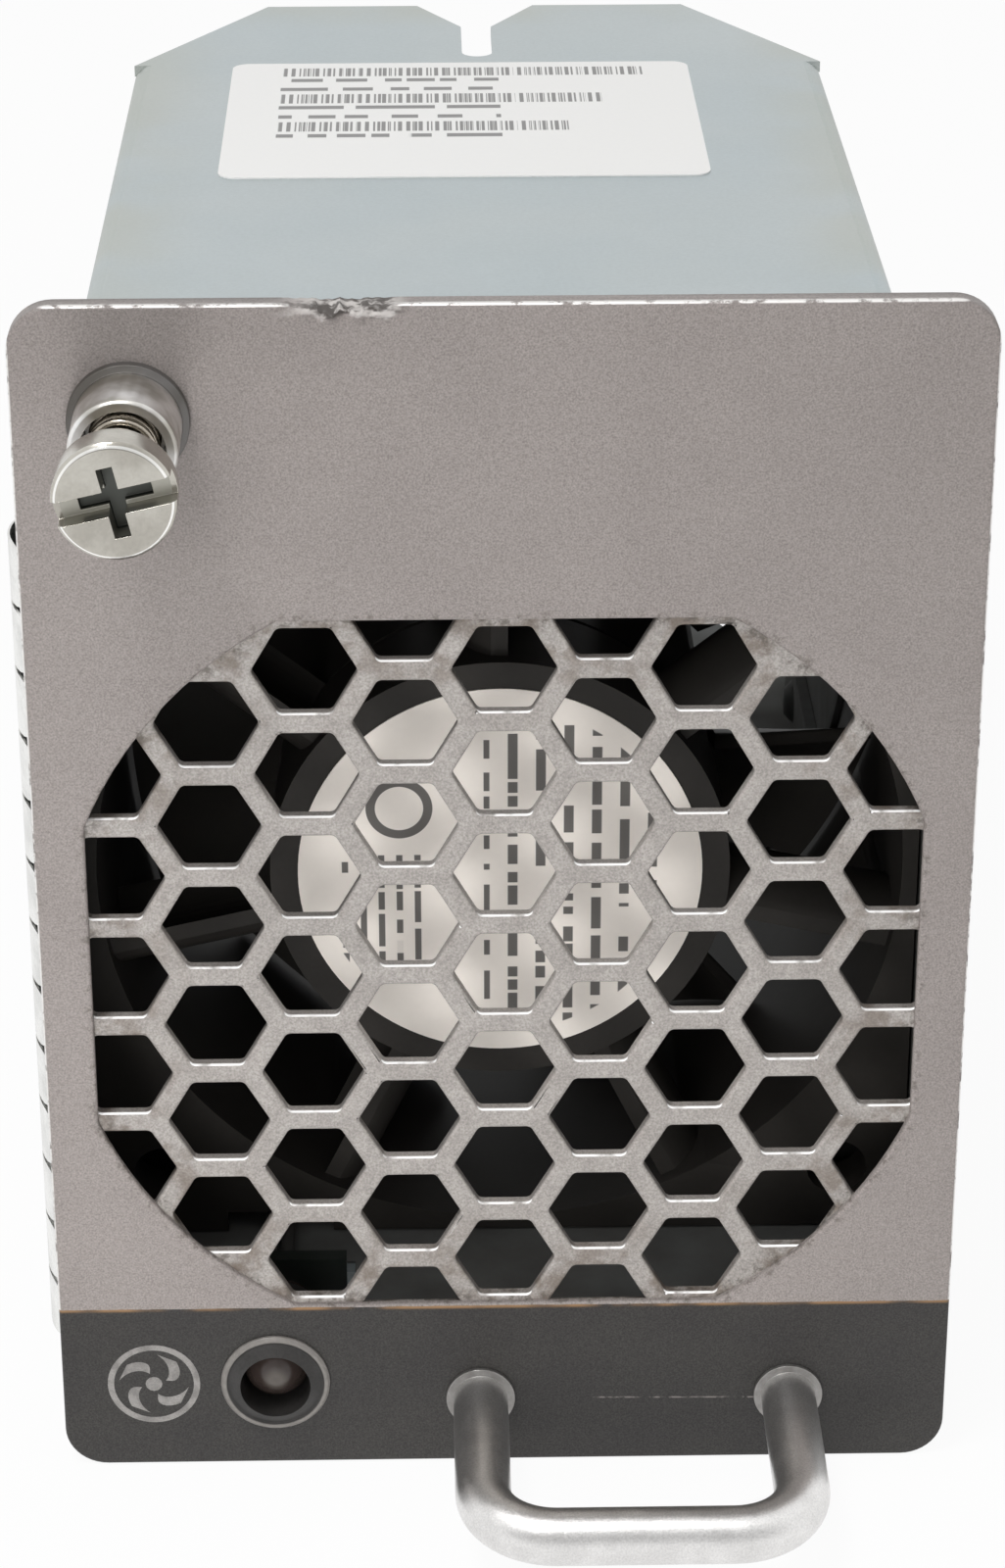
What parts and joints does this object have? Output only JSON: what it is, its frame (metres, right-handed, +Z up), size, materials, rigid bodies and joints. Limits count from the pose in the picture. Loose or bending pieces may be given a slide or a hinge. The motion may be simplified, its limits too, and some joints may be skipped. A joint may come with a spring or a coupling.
{
  "type": "switch fan tray",
  "caption": "Plug-in fan tray: grey front panel with honeycomb grille, status lamp, bail handle and captive screw, on a zinc sheet metal duct with a square axial fan.",
  "frame": {"origin": "middle of the front panel's bottom edge, at half the panel's thickness", "axes": "+X to the right seen from the front, +Y back into the switch along the fan's axis, +Z up"},
  "size_m": [0.0644, 0.1528, 0.0882],
  "materials": {
    "grey_paint": "satin powder paint with fine speckle, warm grey",
    "screen_paint": "satin silver grey paint, worn",
    "zinc_steel": "zinc plated, bluish passivation",
    "steel": "bright steel",
    "spring_bronze_tin": "bright tin plating",
    "handle_aluminium": "satin, fine blasted",
    "nickel": "polished nickel plating",
    "lamp_bezel": "dark polished bezel with a bright worn rim",
    "lamp_lens": "smoked clear epoxy",
    "tinned_wire": "tinned",
    "circuit_board": "solder mask",
    "fan_plastic": "moulded glass-filled thermoplastic, black",
    "label_paper": "printed polyester label stock",
    "brass": "turned",
    "core_steel": "pressed electrical steel",
    "copper_wire": "enamelled copper winding",
    "magnet": "bonded ferrite",
    "lead_insulation": "PVC lead insulation",
    "clip_nylon": "natural nylon",
    "connector_plastic": "moulded black connector body",
    "gold_pins": "gold flashed"
  },
  "bodies": {
    "tray": {"front_panel": "grey_paint", "honeycomb_screen": "screen_paint", "tray_wrap": "zinc_steel", "tray_base": "zinc_steel", "shell_rivets": "steel", "emi_gasket": "spring_bronze_tin", "handle_bar": "handle_aluminium", "handle_screws": "steel", "screw_ferrule": "nickel", "screw_spring": "steel", "led_holder": "lamp_bezel", "status_led": "lamp_lens", "led_pins": "tinned_wire", "led_board": "circuit_board", "fan_frame": "fan_plastic", "fan_label": "label_paper", "motor_board": "circuit_board", "bearing_tube": "brass", "bearing_outer_rings": "steel", "stator_core": "core_steel", "stator_windings": "copper_wire", "fan_bulkhead": "zinc_steel", "fan_screws": "steel", "fan_leads": "lead_insulation", "led_wires": "lead_insulation", "wire_clips": "clip_nylon", "rear_connector": "connector_plastic", "connector_pins": "gold_pins", "connector_bracket": "zinc_steel", "bracket_screws": "steel", "cover_sticker": "label_paper"},
    "rotor": {"fan_rotor": "fan_plastic", "rotor_yoke": "core_steel", "rotor_magnet": "magnet", "rotor_bushing": "brass", "fan_shaft": "steel", "shaft_clip": "steel", "bearing_inner_rings": "steel"},
    "screw_carrier": {"thrust_washer": "steel"},
    "captive_screw": {"captive_screw": "nickel"}
  },
  "joints": [
    {"name": "fan_spin", "type": "hinge", "parent": "tray", "child": "rotor", "pos_m": [0, 0.03385, 0.0397], "axis": [0, 1, 0], "continuous": true},
    {"name": "screw_press", "type": "slide", "parent": "tray", "child": "screw_carrier", "axis": [0, 1, 0], "range_m": [0, 0.0055], "stiffness_N_per_m": 120, "springref_m": -0.006, "deforming": ["screw_spring"]},
    {"name": "screw_turn", "type": "hinge", "parent": "screw_carrier", "child": "captive_screw", "pos_m": [-0.024, 0, 0.0806], "axis": [0, 1, 0], "continuous": true}
  ]
}
